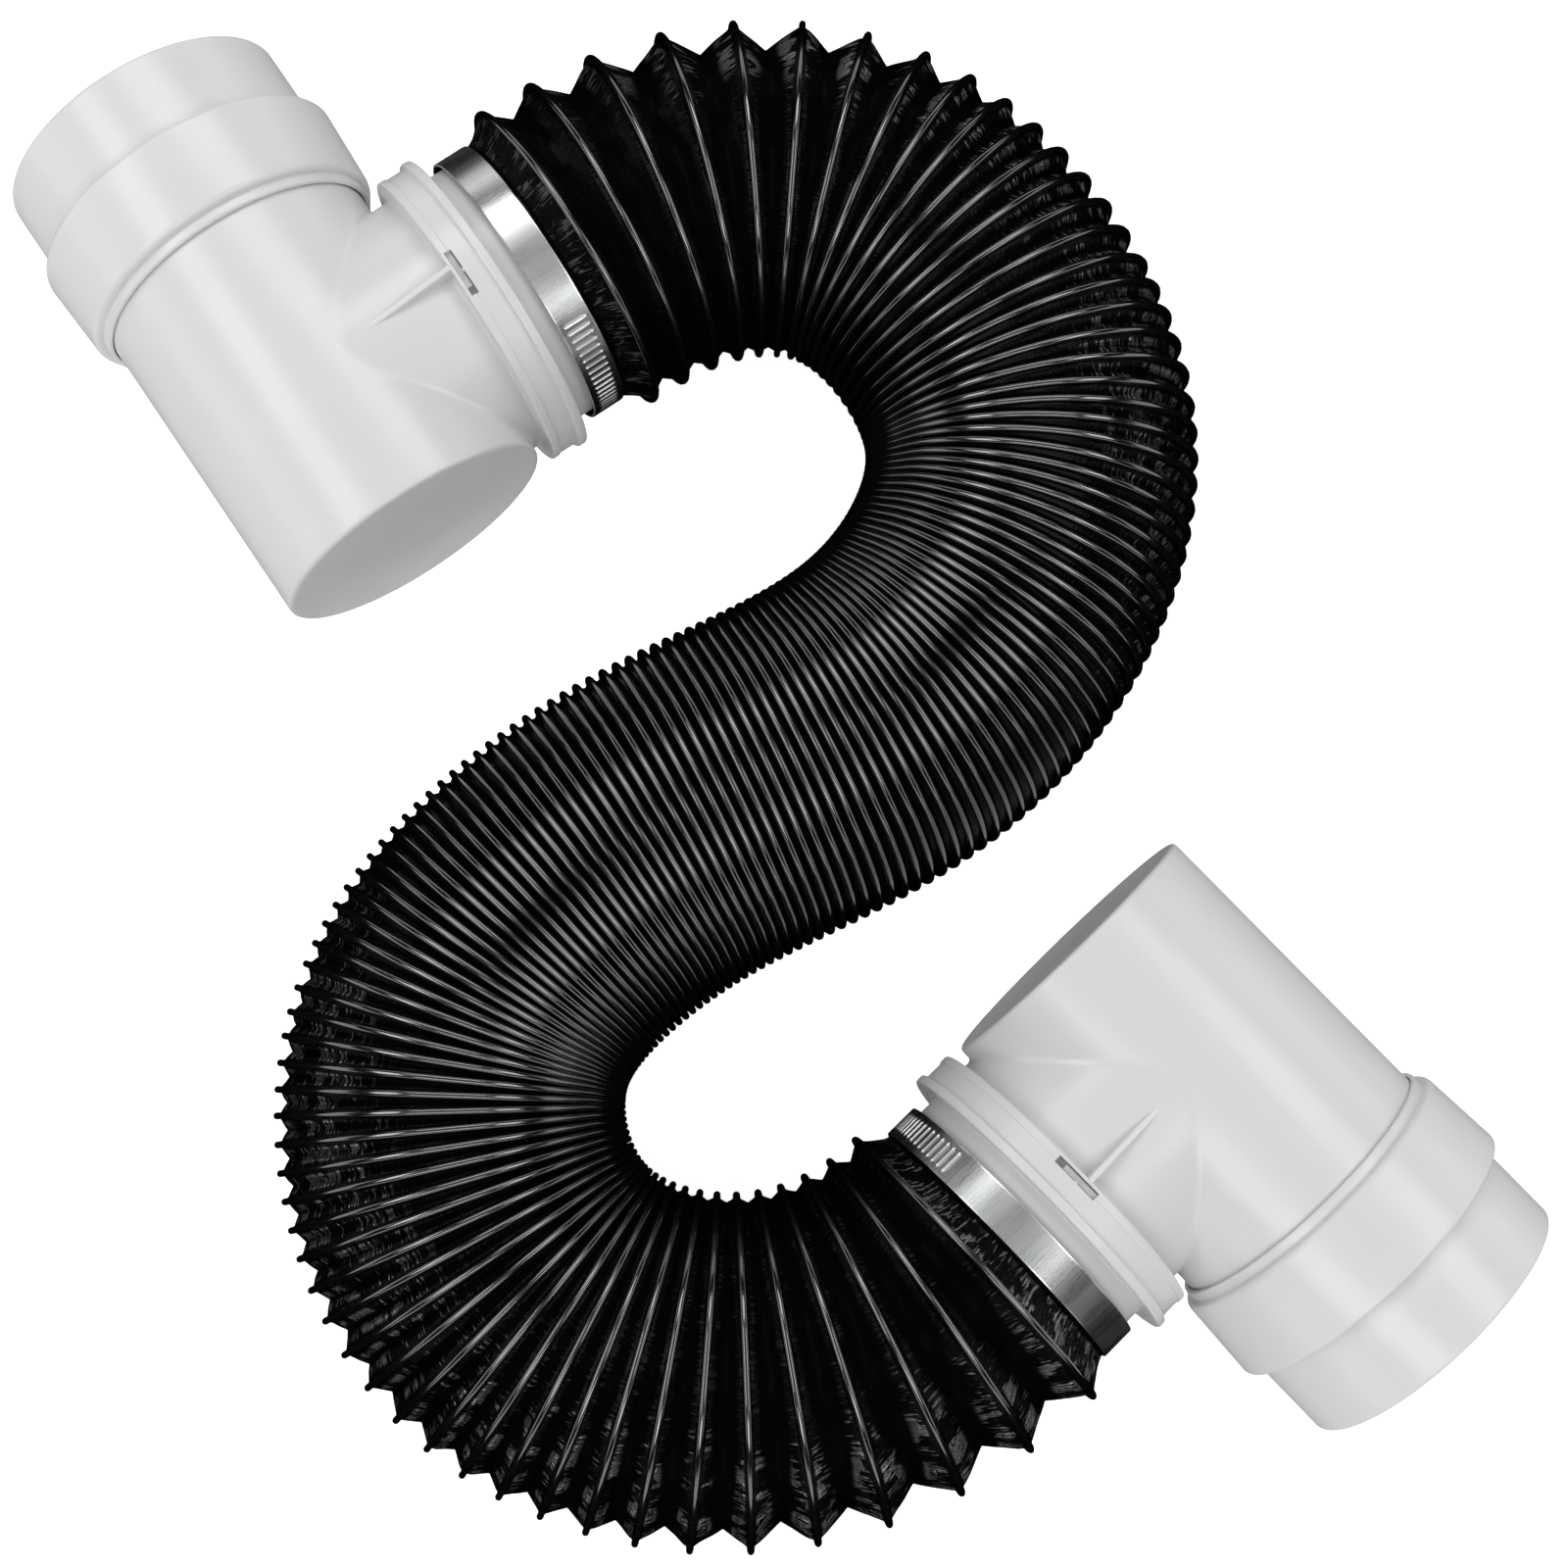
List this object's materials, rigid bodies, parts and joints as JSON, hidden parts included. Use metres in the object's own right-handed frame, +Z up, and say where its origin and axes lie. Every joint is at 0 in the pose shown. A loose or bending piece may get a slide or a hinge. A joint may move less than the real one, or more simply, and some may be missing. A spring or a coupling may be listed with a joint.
{
  "type": "dryer vent hose",
  "caption": "Flexible black film duct on a spring wire, lying in an S, with a white right-angle plastic connector clamped on each end.",
  "frame": {"origin": "middle of the layout's footprint, on the floor", "axes": "+Z up; +Y the way connector A's open mouth points; +X the way connector A's hose leaves it"},
  "size_m": [0.4554, 0.6186, 0.121],
  "materials": {
    "black_film": "glossy crinkled black film",
    "white_plastic": "satin white moulded plastic",
    "clamp_steel": "bright rolled steel band",
    "screw_steel": "zinc plated steel"
  },
  "bodies": {
    "duct": {"hose": "black_film", "elbow_a": "white_plastic", "elbow_b": "white_plastic", "spigot_a": "white_plastic", "spigot_b": "white_plastic", "clamp_band_a": "clamp_steel", "clamp_band_b": "clamp_steel", "clamp_housing_a": "clamp_steel", "clamp_housing_b": "clamp_steel"},
    "mouth_a": {"end_collar_a": "white_plastic"},
    "mouth_b": {"end_collar_b": "white_plastic"},
    "worm_a": {"clamp_screw_a": "screw_steel"},
    "worm_b": {"clamp_screw_b": "screw_steel"}
  },
  "joints": [
    {"name": "collar_swivel_a", "type": "hinge", "parent": "duct", "child": "mouth_a", "pos_m": [-0.04978, 0.18533, 0.06049], "axis": [0, 1, 0], "continuous": true},
    {"name": "collar_swivel_b", "type": "hinge", "parent": "duct", "child": "mouth_b", "pos_m": [0.06752, -0.17817, 0.06049], "axis": [0.1668, -0.986, 0], "continuous": true},
    {"name": "clamp_screw_turn_a", "type": "hinge", "parent": "duct", "child": "worm_a", "pos_m": [0.03537, 0.15698, 0.01139], "axis": [0, -0.866, 0.5], "continuous": true},
    {"name": "clamp_screw_turn_b", "type": "hinge", "parent": "duct", "child": "worm_b", "pos_m": [-0.02117, -0.16443, 0.01139], "axis": [-0.1444, 0.8539, 0.5], "continuous": true}
  ]
}
